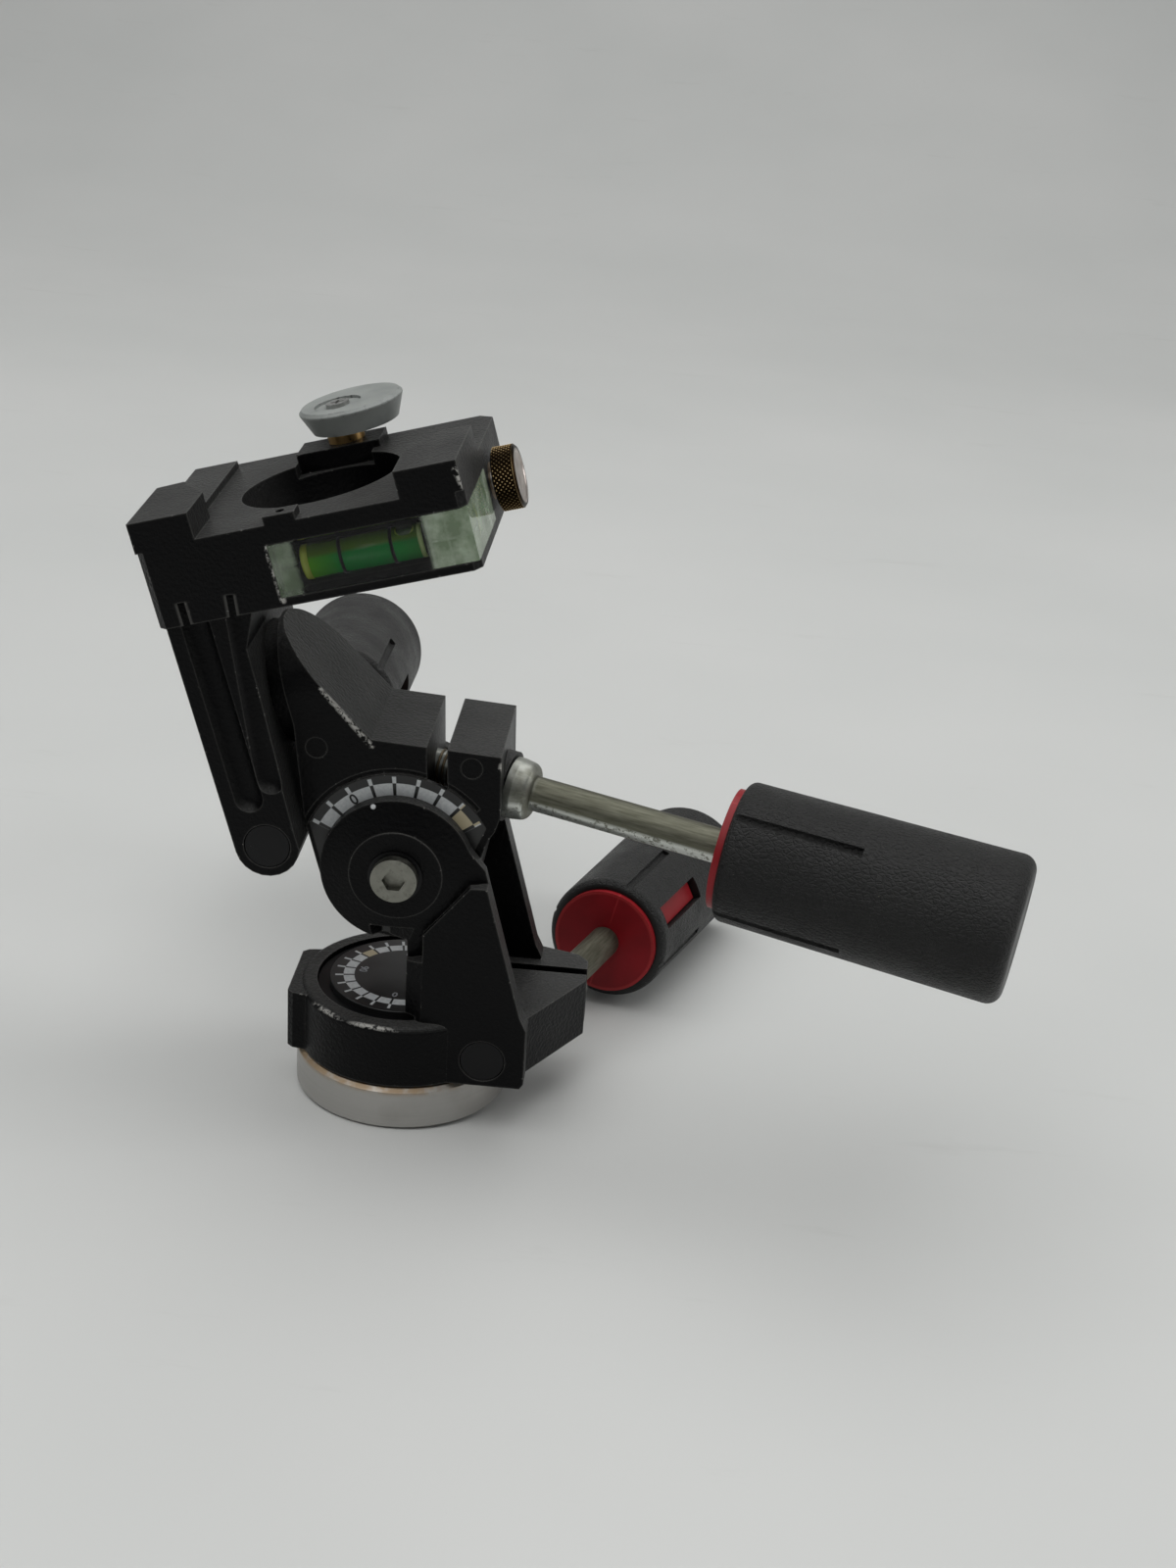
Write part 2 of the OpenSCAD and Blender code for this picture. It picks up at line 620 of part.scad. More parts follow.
module side_sleeve() color([0.85, 0.84, 0.8]) tilted() difference() {
    translate([0, 0, side_h]) cyl_x(side_sleeve_r, stem_end + gap, leg_x);
    translate([0, 0, side_h]) cyl_x(stem_r + run, plat_x, 0);
    box(plat_x - 1, 0, side_slit_y - slit_w / 2, side_slit_y + slit_w / 2, 0, side_h - 3);
}
module side_plug() color([0.04, 0.04, 0.04]) tilted() translate([side_axis_x, 0, side_clamp_z])
    cyl_y(plug_r - plug_gap, -leg_y + plug_sunk, -leg_y + plug_t);
module side_cap() color([0.04, 0.04, 0.04]) tilted() translate([0, 0, side_h])
    cyl_x(side_sleeve_r + 1.2, plat_x, plat_x + 1.4);

// L shaped block of clear plastic with two vials, let into the platform's corner.
module level_body() color([0.75, 0.85, 0.85]) tilted() difference() {
    level_space(0, level_gap);
    translate([0, -wy + vial_in, vial_z]) cyl_x(vial_r, long_vial_x[0], long_vial_x[1]);
    box(long_vial_x[0], long_vial_x[1], -wy + vial_in, -wy + level_d + 1, vial_z - vial_r, vial_z + vial_r);
    translate([plat_end - vial_in, 0, vial_z]) cyl_y(vial_r, short_vial_y[0], short_vial_y[1]);
    box(plat_end - level_d - 1, plat_end - vial_in, short_vial_y[0], short_vial_y[1], vial_z - vial_r,
        vial_z + vial_r);
    // moulded pockets at the left end and in the corner
    for (z = [level_z + 1.2, vial_z + 0.5]) {
        box(level_x + 1.2, long_vial_x[0] - 1, pocket_front - wy, level_d - wy + 1, z, z + level_h / 2 - 1.7);
        for (x = [long_vial_x[1] + 2.4, (long_vial_x[1] + plat_end) / 2 + 1.4])
            box(x, x + 4.2, pocket_front - wy, level_d - wy - 1, z, z + level_h / 2 - 1.7);
    }
}
module long_vial() color([0.5, 0.75, 0.3]) tilted() translate([0, -wy + vial_in, vial_z])
    cyl_x(vial_r, long_vial_x[0], long_vial_x[1]);
module short_vial() color([0.5, 0.75, 0.3]) tilted() translate([plat_end - vial_in, 0, vial_z])
    cyl_y(vial_r, short_vial_y[0], short_vial_y[1]);

// ================= lock
module cam_bush() color([0.75, 0.6, 0.3]) tilted() translate([cam_x, cam_y, 0]) difference() {
    union() {
        translate([0, 0, lever_z + lever_t + gap]) cylinder(r = bush_r, h = seat_h + pad_h - lever_z - lever_t - gap);
        translate([0, 0, seat_h + pad_h]) cylinder(r = bush_r + 0.6, h = bush_h);
    }
    translate([0, 0, plat_h]) cylinder(r = shaft_r + run, h = 60);
}
module cam_shaft() color([0.6, 0.6, 0.6]) tilted() translate([cam_x, cam_y, 0])
    translate([0, 0, lever_z]) cylinder(r = shaft_r, h = cam_z + 4 - lever_z);

// Eccentric cam, wider at the top so that it presses the plate down.
module lock_cam() color([0.07, 0.07, 0.08]) tilted() difference() {
    translate([cam_x, cam_y, cam_z]) rotate(cam_a) translate([cam_off, 0, 0]) rotate_extrude() polygon([[0, 0],
        [cam_r - 2.4, 0], [cam_r, cam_h - 1.2], [cam_r, cam_h - 0.8], [cam_r - 0.8, cam_h], [0, cam_h]]);
    // dish round the screw
    translate([cam_x, cam_y, cam_z + cam_h - dish]) cylinder(r = dish_r, h = 2);
    translate([cam_x, cam_y, cam_z - e]) cylinder(r = shaft_r, h = 4 + e);
    translate([cam_x, cam_y, cam_z]) cylinder(r = cam_screw_r, h = 30);
}
module cam_screw() color([0.6, 0.6, 0.6]) tilted() translate([cam_x, cam_y, 0]) difference() {
    union() {
        translate([0, 0, cam_z + 4]) cylinder(r = cam_screw_r, h = cam_h - dish - 4);
        translate([0, 0, cam_z + cam_h - dish]) cylinder(r = cam_screw_r + 1.2, h = 1);
    }
    for (a = [0, 90]) rotate(a) translate([-1.8, -0.35, cam_z + cam_h - dish + 0.4]) cube([3.6, 0.7, 1]);
}
module lock_lever() color([0.07, 0.07, 0.08]) tilted() translate([cam_x, cam_y, lever_z]) difference() {
    union() {
        cylinder(r = lever_r, h = lever_t);
        translate([lever_r - lever_w, 0, 0]) cube([lever_w, lever_l - lever_w / 2, lever_t]);
        translate([lever_r - lever_w / 2, lever_l - lever_w / 2, 0]) cylinder(d = lever_w, h = lever_t);
    }
    translate([0, 0, -1]) cylinder(r = shaft_r, h = lever_t + 2);
}

// ================= safety catch
module catch_bush() color([0.75, 0.6, 0.3]) tilted() translate([0, knob_y, knob_z]) difference() {
    cyl_x(pocket_r, plat_end - bush_l, plat_end);
    cyl_x(pin_r + run, 0, plat_end + 1);
}
module catch_pin() color([0.6, 0.6, 0.6]) tilted() translate([0, knob_y, knob_z]) {
    cyl_x(pin_r, pin_tip, knob_x);
    cyl_x(pocket_r - 0.4, pocket_x + 0.4, pocket_x + 2.4);
}
module catch_knob() color([0.78, 0.62, 0.3]) tilted() translate([0, knob_y, knob_z])
    translate([knob_x, 0, 0]) rotate([0, 90, 0]) rotate_extrude() polygon([[0, 0], [knob_d / 2 - 0.8, 0],
    [knob_d / 2, 0.8], [knob_d / 2, knob_t - 0.8], [knob_d / 2 - 0.8, knob_t], [0, knob_t]]);

// Coil spring round the pin, as one tube: rings of points along a helix, joined by quads.
coil_rings = spring_turns * coil_steps;
function coil_point(i, k) = let (a = 360 * i / coil_steps, b = 360 * k / coil_sides,
    r = spring_r + spring_wire / 2 * cos(b))
    [r * cos(a), r * sin(a), spring_wire / 2 + (spring_l - spring_wire) * i / coil_rings + spring_wire / 2 * sin(b)];
// Least gap between neighbouring turns, measured on the points of one turn and the next.
echo(spring_gap = min([for (i = [0:coil_rings - coil_steps]) for (k = [0:coil_sides - 1])
    for (j = [0:coil_sides - 1]) norm(coil_point(i, k) - coil_point(i + coil_steps, j))]));
module catch_spring() color([0.7, 0.7, 0.7]) tilted() translate([pocket_x + 2.4, knob_y, knob_z]) rotate([0, 90, 0])
    polyhedron(points = [for (i = [0:coil_rings]) for (k = [0:coil_sides - 1]) coil_point(i, k)],
        faces = concat([[for (k = [0:coil_sides - 1]) k]],
            [for (i = [0:coil_rings - 1]) for (k = [0:coil_sides - 1]) let (a = i * coil_sides + k,
                b = i * coil_sides + (k + 1) % coil_sides) [a, a + coil_sides, b + coil_sides, b]],
            [[for (k = [coil_sides - 1:-1:0]) coil_rings * coil_sides + k]]));

// ================= handles
// Rod with the clamp screw, the hub and the bulge next to it; the seat is at the origin.
module rod(reach) difference() {
    union() {
        translate([0, 0, -screw_l]) cylinder(r = screw_r, h = screw_l + 1);
        rotate_extrude() polygon(concat([[0, gap], [hub_r, gap], [hub_r, 2.2]],
            arc([rod_d / 2 + 0.8, 4.4], hub_r - rod_d / 2 - 0.8 - 0.4, 10, 90, 6),
            [[rod_d / 2, 4.4 + hub_r - rod_d / 2 - 1.2], [rod_d / 2, reach + core_in], [0, reach + core_in]]));
    }
}
// Red plastic core: it shows as a ring round the rod and as a pad in the grip's window.
module core(reach, window) difference() {
    translate([0, 0, reach]) union() {
        cylinder(d = core_d, h = grip_l - core_end);
        cylinder(d = core_d + 1.4, h = collar_t);
        rotate(window) translate([core_d / 2 - 1, -core_pad_w / 2, window_z + (window_l - core_pad_l) / 2])
            cube([pad_top - core_d / 2 + 1, core_pad_w, core_pad_l]);
    }
    translate([0, 0, reach - 1]) cylinder(d = rod_d, h = core_in + 1);
}
// Rubber grip: a tapered sleeve closed at its far end, with a window and long grooves near the rod.
module grip(reach, window) translate([0, 0, reach]) difference() {
    translate([0, 0, collar_t]) rotate_extrude() polygon(concat([[0, 0], [grip_d / 2 - 2.4, 0]],
        arc([grip_d / 2 - 2.4, 2.4], 2.4, -90, 0, 6), arc([grip_end_d / 2 - 4, grip_l - collar_t - 4], 4, 0, 90, 8),
        [[0, grip_l - collar_t]]));
    cylinder(d = core_d, h = grip_l - core_end);
    rotate(window) translate([core_d / 2 - 1, -window_w / 2, window_z]) cube([10, window_w, window_l]);
    for (i = [0:groove_n - 1]) rotate(window + (i + 0.5) * 360 / groove_n)
        translate([grip_d / 2 + 0.4, 0, collar_t - e]) cylinder(r = groove_r, h = groove_l);
}
module pan_aim() aim(pan_seat, pan_az, pan_el) children();
module tilt_aim() tilted() aim(tilt_seat, tilt_az, tilt_el) children();
module side_aim() tilted() aim(side_seat, side_az, side_el) children();
module pan_rod() color([0.5, 0.48, 0.46]) pan_aim() rod(pan_reach);
module pan_core() color([0.7, 0.1, 0.08]) pan_aim() core(pan_reach, pan_window);
module pan_grip() color([0.04, 0.04, 0.04]) pan_aim() grip(pan_reach, pan_window);
module tilt_rod() color([0.5, 0.48, 0.46]) tilt_aim() rod(tilt_reach);
module tilt_core() color([0.7, 0.1, 0.08]) tilt_aim() core(tilt_reach, tilt_window);
module tilt_grip() color([0.04, 0.04, 0.04]) tilt_aim() grip(tilt_reach, tilt_window);
module side_rod() color([0.5, 0.48, 0.46]) side_aim() rod(side_reach);
module side_core() color([0.7, 0.1, 0.08]) side_aim() core(side_reach, side_window);
module side_grip() color([0.04, 0.04, 0.04]) side_aim() grip(side_reach, side_window);

base_plate();
tripod_insert();
pan_spindle();
spindle_screws();
pan_retainer();
pan_dial();
pan_yoke();
pan_sleeve();
pan_plug();
tilt_drum();
tilt_bolt();
tilt_washers();
tilt_nut();
tilt_block();
tilt_sleeve();
tilt_scale();
side_stem();
side_retainer();
side_bolt();
camera_bracket();
side_sleeve();
side_plug();
side_cap();
level_body();
long_vial();
short_vial();
cam_shaft();
cam_bush();
lock_cam();
cam_screw();
lock_lever();
catch_bush();
catch_knob();
catch_pin();
catch_spring();
pan_rod();
pan_core();
pan_grip();
tilt_rod();
tilt_core();
tilt_grip();
side_rod();
side_core();
side_grip();
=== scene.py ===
"""Looks of a three way pan tilt head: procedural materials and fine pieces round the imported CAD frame."""
import math

import bpy
from mathutils import Matrix, Vector


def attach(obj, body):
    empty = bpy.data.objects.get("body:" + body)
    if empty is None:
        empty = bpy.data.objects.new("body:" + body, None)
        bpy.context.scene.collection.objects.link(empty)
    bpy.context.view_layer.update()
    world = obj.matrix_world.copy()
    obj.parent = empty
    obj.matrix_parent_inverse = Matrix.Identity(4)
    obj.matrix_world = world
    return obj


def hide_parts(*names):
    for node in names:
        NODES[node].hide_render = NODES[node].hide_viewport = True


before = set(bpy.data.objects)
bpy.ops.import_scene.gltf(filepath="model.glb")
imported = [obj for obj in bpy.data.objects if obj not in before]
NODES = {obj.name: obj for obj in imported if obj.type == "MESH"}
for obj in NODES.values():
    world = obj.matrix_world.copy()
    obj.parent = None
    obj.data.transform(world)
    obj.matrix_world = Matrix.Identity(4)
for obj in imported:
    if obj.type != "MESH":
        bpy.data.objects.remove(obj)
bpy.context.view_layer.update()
MM = 0.001                      # a millimetre in metres
X, Y, Z = 0, 1, 2               # places of a vector's components

# Sizes that the looks share with the CAD, in millimetres and degrees.
AXIS_H = 75.3                   # height of the front tilt axis
REST_TILT = 16                  # forward tilt of the head at rest
BLOCK_Y = 18.2                  # half the tilt block's depth
EAR_OUT = 24.8                  # outer face of the near ear
DIAL_TOP = 32.0                 # face of the pan dial
PLAT_H = 81.3                   # platform's underside above the tilt axis
PLAT_END = 45.0                 # right end of the platform
HALF_W = 34.0                   # half the platform's depth
LEVEL_Z = PLAT_H + 2.2          # underside of the clear level
VIAL_Z = LEVEL_Z + 7            # axis of the vials, halfway up the level
VIAL_IN = 5.0                   # depth of the vials' axes behind the level's faces
VIAL_R = 4.5                    # radius of the vials, as the clear plastic magnifies them
LONG_VIAL = (1.0, 32.3)         # ends of the long vial along the platform
SHORT_VIAL = (-24.0, -4.0)      # ends of the short vial across the platform
KNOB_SEAT = (46.2, 7.5, 91.5)   # inner end of the catch's knob, in the tilted frame
KNOB_R, KNOB_T = 8.5, 6.4       # the knob's radius and length
SCREW_R = 4.6                   # radius of the clamp screws

# Graduations, in degrees round the dials and in millimetres from their axes.
STEP = 15                       # between two graduations
LINE = 2.4                      # width of a graduation's line
SOFT = 0.15                     # half the blur at a line's edge
PAN_ZERO = -95.0                # direction of the pan dial's zero
TILT_ZERO = 108.3               # direction of the tilt scale's zero
TILT_SPAN = (TILT_ZERO - 6 * STEP - LINE / 2, TILT_ZERO + 2 * STEP + LINE / 2)      # the printed part
PAN_RADII = (14.2, 17.2, 19.5)  # inner and outer edge of the blocks, outer end of the ticks
TILT_RADII = (18, 23.9, 25.8)
PAN_AGED, TILT_AGED = (131, 144), (18, 33)      # from where to where the white has yellowed


def place(x, y, z):
    return Matrix.Translation((x * MM, y * MM, z * MM))


def turn(angle, axis):
    return Matrix.Rotation(math.radians(angle), 4, axis)


def aim(seat, az, el):
    """Frame with Z along a handle's axis and its origin at the handle's seat."""
    return place(*seat) @ turn(az, "Z") @ turn(90 - el, "Y")


def axis_of(matrix):
    """Direction of a frame's Z."""
    return matrix.to_3x3() @ Vector((0, 0, 1))


# The tilted head's frame, and each handle's: a seat in millimetres, then azimuth and elevation in degrees.
TILTED = place(0, 0, AXIS_H) @ turn(-REST_TILT, "Y")
HANDLES = {
    "pan": aim((41.1, 24, 18.4), 73, -4.9),
    "tilt": TILTED @ aim((31.9, -3.6, 10.8), -14.4, -21.3),
    "side": TILTED @ aim((-30.4, 27, 16), 94.6, -6.4),
}

# Edges drawn pale, as lines in millimetres: paint rubbed through on the saddle and the leg, painted glints
# on the clamp lug and the corner lug, and on the pan housing's rim rubbed paint with a painted highlight.
RUBBED_AND_GLINTS = [
    ((-21.5, -18.2, 124.0), (-8.1, -18.2, 109.3)),      # saddle
    # painted glint
    ((26.3, -18.0, 106.8), (26.1, -18.0, 105.4)),       # clamp lug
    # rubbed paint with a painted highlight
    ((-24.6, -17.0, 31.0), (-12.9, -27.0, 31.0)),       # pan housing's rim, left
    ((-12.9, -27.0, 31.0), (4.0, -29.8, 31.0)),         # and front
    ((-32.6, -34.0, 166.9), (-28.4, -34.0, 153.4)),     # leg beside the level
    # painted glint
    ((13.2, -34.0, 190.4), (15.2, -34.0, 186.6)),       # corner lug
]

# The pan grip reaches lower than the base, so the head rests on it and on the base's rim across from it.
LEAN = 3.65                     # slope of the floor in degrees
LEAN_AZ = 73                    # direction of the pan handle, towards which the floor falls
RIM_R = 29.2                    # radius of the base's rim where it touches the floor

# The photograph's camera: place in metres, and its azimuth, elevation and roll in degrees.
CAM_PLACE = (0.07934, -0.57681, 0.35606)
CAM_AZ, CAM_EL, CAM_ROLL = 3.10, 24.28, 3.61
CAM_LENS, CAM_SENSOR = 54, 36   # in millimetres; the sensor spans the picture's longer side


# ---------------------------------------------------------------- camera, floor and light
def add(name, data):
    """A new object in the scene."""
    obj = bpy.data.objects.new(name, data)
    bpy.context.collection.objects.link(obj)
    return obj


def looking(way):
    """Turn that makes a camera or lamp look along a direction."""
    return way.to_track_quat("-Z", "Y").to_matrix().to_4x4()


def make_camera():
    data = bpy.data.cameras.new("camera")
    data.lens, data.sensor_width, data.sensor_fit = CAM_LENS, CAM_SENSOR, "AUTO"
    data.clip_start, data.clip_end = 0.01, 20
    az, el = math.radians(CAM_AZ), math.radians(CAM_EL)
    back = Vector((math.sin(az) * math.cos(el), -math.cos(az) * math.cos(el), math.sin(el)))
    obj = add("camera", data)
    obj.matrix_world = Matrix.Translation(CAM_PLACE) @ looking(-back) @ turn(CAM_ROLL, "Z")
    bpy.context.scene.camera = obj


def make_floor():
    """A pale sweep under the pan grip and the base's rim; it bends up into a wall far behind the object."""
    half, front, wall, top = 4.0, -3.0, 2.6, 3.0        # half its width, its ends and its height in metres
    bend, steps = 1.4, 18                               # radius of the bend, and faces in it
    line = [(front, 0.0), (wall - bend, 0.0)]
    for i in range(1, steps + 1):
        a = math.radians(90 * i / steps)
        line.append((wall - bend + bend * math.sin(a), bend - bend * math.cos(a)))
    line.append((wall, top))
    verts = [(x, y, z) for y, z in line for x in (-half, half)]
    faces = [(2 * i, 2 * i + 1, 2 * i + 3, 2 * i + 2) for i in range(len(line) - 1)]
    mesh = bpy.data.meshes.new("floor")
    mesh.from_pydata(verts, [], faces)
    rim = turn(LEAN_AZ, "Z") @ place(-RIM_R, 0, 0)
    mesh.transform(rim @ turn(LEAN, "Y") @ rim.inverted())
    mesh.polygons.foreach_set("use_smooth", [True] * len(faces))
    mesh.materials.append(floor_material())
    add("floor", mesh)


def area_light(name, where, target, size, power):
    data = bpy.data.lights.new(name, "AREA")
    data.shape = "RECTANGLE"
    data.size, data.size_y = size
    data.energy = power
    where, target = Vector(where), Vector(target)
    add(name, data).matrix_world = Matrix.Translation(where) @ looking(target - where)


def make_lights():
    middle = (0.0, 0.0, 0.1)
    area_light("key", where=(-0.2, 0.2, 1.8), target=middle, size=(3.2, 2.6), power=44)
    area_light("side", where=(1.5, 0.2, 0.8), target=middle, size=(0.7, 1.2), power=7)
    area_light("front", where=(-0.9, -1.6, 1.5), target=(0.0, -0.4, 0.0), size=(1.2, 0.8), power=4)
    world = bpy.data.worlds.new("world")
    bpy.context.scene.world = world
    world.use_nodes = True
    back = world.node_tree.nodes["Background"]
    back.inputs["Color"].default_value = (0.72, 0.74, 0.75, 1)
    back.inputs["Strength"].default_value = 0.14


# ---------------------------------------------------------------- shader helpers
# The Mix node's sockets for colours. They go by number, because its other types of data use the same names.
MIX_FACTOR, MIX_A, MIX_B, MIX_RESULT = 0, 6, 7, 2
BEVEL_SAMPLES = 6
TWO_TURNS = 720                 # in degrees; added so that no angle is negative


def opaque(color):
    """A written colour with its alpha of 1; a socket stays as it is."""
    return (*color, 1) if isinstance(color, tuple) else color


class Shader:
    """One material's node tree, built by short calls that return sockets. It is s in the functions below."""

    def __init__(self, name, roughness=0.5, metallic=0.0, specular=0.5):
        self.material = bpy.data.materials.new(name)
        self.material.use_nodes = True
        self.tree = self.material.node_tree
        self.bsdf = self.tree.nodes["Principled BSDF"]
        self.set("Roughness", roughness)
        self.set("Metallic", metallic)
        self.set("Specular IOR Level", specular)
        self.coord = self.node("TexCoord", {}).outputs["Object"]

    def link(self, value, socket):
        """Puts a plain value on a socket, or links a node's output to it."""
        if isinstance(value, bpy.types.NodeSocket):
            self.tree.links.new(value, socket)
        elif value is not None:
            socket.default_value = value

    def set(self, name, value):
        """One input of the surface itself."""
        self.link(value, self.bsdf.inputs[name])

    def node(self, kind, inputs, **settings):
        """A new node with its settings, and with values or other nodes' outputs on its inputs."""
        node = self.tree.nodes.new("ShaderNode" + kind)
        for name, value in settings.items():
            setattr(node, name, value)
        for name, value in inputs.items():
            self.link(value, node.inputs[name])
        return node

    def color(self, value):
        self.set("Base Color", opaque(value))

    def rough(self, value):
        self.set("Roughness", value)

    def math(self, operation, a, b=0.5, clamp=False):
        return self.node("Math", {0: a, 1: b}, operation=operation, use_clamp=clamp).outputs[0]

    def vector(self, operation, a, b=None):
        node = self.node("VectorMath", {0: a, 1: b}, operation=operation)
        return node.outputs["Value" if operation in ("DOT_PRODUCT", "LENGTH") else "Vector"]

    def noise(self, scale, detail=4.0, roughness=0.55, coord=None):
        inputs = {"Scale": scale, "Detail": detail, "Roughness": roughness}
        return self.node("TexNoise", {"Vector": coord or self.coord, **inputs}).outputs["Fac"]

    def cells(self, scale, coord):
        """Distance to the edge of the cell that a point lies in."""
        inputs = {"Vector": coord, "Scale": scale}
        return self.node("TexVoronoi", inputs, feature="DISTANCE_TO_EDGE").outputs["Distance"]

    def ramp(self, fac, low, high, a=0.0, b=1.0):
        """fac from low to high becomes a to b, held at both ends."""
        inputs = {"Value": fac, "From Min": low, "From Max": high, "To Min": a, "To Max": b}
        return self.node("MapRange", inputs, clamp=True).outputs["Result"]

    def mix(self, fac, a, b):
        """Colour a where fac is 0, and b where it is 1."""
        inputs = {MIX_FACTOR: fac, MIX_A: opaque(a), MIX_B: opaque(b)}
        return self.node("Mix", inputs, data_type="RGBA").outputs[MIX_RESULT]

    def bump(self, height, strength, distance, normal=None):
        """Dents the surface by distance millimetres, on top of the bump that normal comes from."""
        inputs = {"Strength": strength, "Distance": distance * MM, "Height": height, "Normal": normal}
        dented = self.node("Bump", inputs).outputs["Normal"]
        self.set("Normal", dented)
        return dented

    def mapped(self, matrix):
        """The row frame's coordinates taken into the frame whose place matrix gives."""
        where, way, _ = matrix.inverted().decompose()
        inputs = {"Vector": self.coord, "Location": where, "Rotation": way.to_euler()}
        return self.node("Mapping", inputs).outputs["Vector"]

    def stretched(self, scale, coord=None):
        """Coordinates multiplied by scale: a texture gets finer along an axis above 1, and coarser below."""
        return self.node("Mapping", {"Vector": coord or self.coord, "Scale": scale}).outputs["Vector"]

    def separate(self, vector):
        return self.node("SeparateXYZ", {0: vector}).outputs

    def normal(self):
        return self.node("NewGeometry", {}).outputs["Normal"]

    def facing(self, direction):
        """How far the surface faces a direction, from -1 to 1."""
        return self.vector("DOT_PRODUCT", self.normal(), tuple(Vector(direction).normalized()))

    def edge(self, radius, low=0.02, high=0.25):
        """1 at the solid's edges and 0 on its flat faces."""
        rounded = self.node("Bevel", {"Radius": radius * MM}, samples=BEVEL_SAMPLES).outputs["Normal"]
        bent = self.math("SUBTRACT", 1.0, self.vector("DOT_PRODUCT", rounded, self.normal()))
        return self.ramp(bent, low, high)

    def near(self, lines, reach):
        """1 close to any of the lines between two points, falling to 0 at reach millimetres from it."""
        total = 0.0
        for start, end in lines:
            start, end = Vector(start) * MM, Vector(end) * MM
            way = end - start
            offset = self.vector("SUBTRACT", self.coord, tuple(start))
            along = self.vector("DOT_PRODUCT", offset, tuple(way))
            along = self.math("DIVIDE", along, way.length_squared, clamp=True)
            foot = self.node("VectorMath", {0: way, "Scale": along}, operation="SCALE").outputs["Vector"]
            gap = self.vector("LENGTH", self.vector("SUBTRACT", offset, foot))
            total = self.math("MAXIMUM", total, self.ramp(gap, reach / 4 * MM, reach * MM, 1, 0))
        return total

    def length(self, a, b):
        """Length of the vector with the two components a and b."""
        squares = self.math("ADD", self.math("MULTIPLY", a, a), self.math("MULTIPLY", b, b))
        return self.math("SQRT", squares)

    def polar(self, vector, first, second):
        """Radius in metres and angle in degrees of a vector's two components."""
        parts = self.separate(vector)
        a, b = parts[first], parts[second]
        return self.length(a, b), self.math("MULTIPLY", self.math("ARCTAN2", b, a), 180 / math.pi)

    def band(self, value, low, high, soft):
        """1 where value lies between low and high, blurred by soft to both sides of either end."""
        return self.math("MULTIPLY", self.ramp(value, low - soft, low + soft),
                         self.ramp(value, high - soft, high + soft, 1, 0))

    def teeth(self, angle, pitch, width, phase=0.0):
        """1 on stripes of width degrees centred on phase and on every pitch degrees from it."""
        turned = self.math("ADD", angle, TWO_TURNS + pitch / 2 - phase)
        saw = self.math("SUBTRACT", self.math("MODULO", turned, pitch), pitch / 2)
        return self.ramp(self.math("ABSOLUTE", saw), width / 2 - SOFT, width / 2 + SOFT, 1, 0)


def dress(material, *items):
    """Gives the material to CAD nodes or pieces."""
    for item in items:
        obj = NODES[item] if isinstance(item, str) else item
        obj.data.materials.clear()
        obj.data.materials.append(material)


# ---------------------------------------------------------------- materials
def floor_material():
    """Pale paper with faint scuffs and a few dark specks."""
    s = Shader("floor_white", 0.45, specular=0.3)
    paper = s.mix(s.ramp(s.noise(3, 3), 0.35, 0.7), (0.60, 0.61, 0.595), (0.645, 0.65, 0.635))
    scuff = s.ramp(s.noise(9, 6, 0.7, s.stretched((1, 5, 1))), 0.62, 0.74, 0, 0.12)
    speck = s.ramp(s.noise(150, 2), 0.80, 0.83, 0, 0.35)
    s.color(s.mix(s.math("MAXIMUM", scuff, speck), paper, (0.34, 0.34, 0.31)))
    s.bump(s.noise(60, 3), 0.05, 0.4)
    return s.material


def cast_black():
    """Satin black paint on a casting: orange peel; lighter where it faces up, from dust and a painted sheen
    of the light above; edges rubbed bright, with painted glints on some of them.
    """
    s = Shader("cast_black", specular=0.12)
    # Lighter where the paint faces up and a little to the right: partly dust, partly a painted sheen of the
    # light above.
    up = s.ramp(s.facing((0.35, 0.0, 0.94)), 0.30, 0.95)
    grain = s.ramp(s.noise(1700, 3), 0.32, 0.68, 0.62, 1.3)
    cloud = s.ramp(s.noise(45, 6), 0.35, 0.75, 0.75, 1.15)
    dust_and_sheen = s.math("MULTIPLY", up, s.math("MULTIPLY", grain, cloud), clamp=True)
    paint = s.mix(dust_and_sheen, (0.0015, 0.0015, 0.0018), (0.055, 0.055, 0.053))
    patchy = s.noise(800, 5, 0.7)
    chipped = s.math("MULTIPLY", s.edge(0.9, 0.01, 0.12), s.ramp(patchy, 0.62, 0.68, 0, 0.8))
    # Pale marks along the listed edges: paint rubbed through, and painted glints.
    rubbed_and_glints = s.math("MULTIPLY", s.near(RUBBED_AND_GLINTS, 1.0), s.ramp(patchy, 0.47, 0.54))
    # Chips, rubbed paint with painted glints, and a faint pale line along every edge.
    marked = s.math("MAXIMUM", s.math("MAXIMUM", chipped, rubbed_and_glints), s.math("MULTIPLY", s.edge(0.8), 0.12))
    s.color(s.mix(marked, paint, (0.50, 0.49, 0.46)))
    s.rough(s.ramp(s.noise(30, 4), 0.3, 0.7, 0.30, 0.46))
    fine = s.bump(s.noise(2100, 2), 0.6, 0.08)
    s.bump(s.noise(1000, 2), 0.9, 0.30, fine)
    return s.material


def smooth_black(name, roughness=0.3):
    """Moulded black plastic, a little duller in patches."""
    s = Shader(name, specular=0.22)
    s.color((0.003, 0.003, 0.0035))
    s.rough(s.ramp(s.noise(60, 5), 0.35, 0.7, roughness - 0.05, roughness + 0.12))
    s.bump(s.noise(700, 2), 0.08, 0.08)
    return s.material


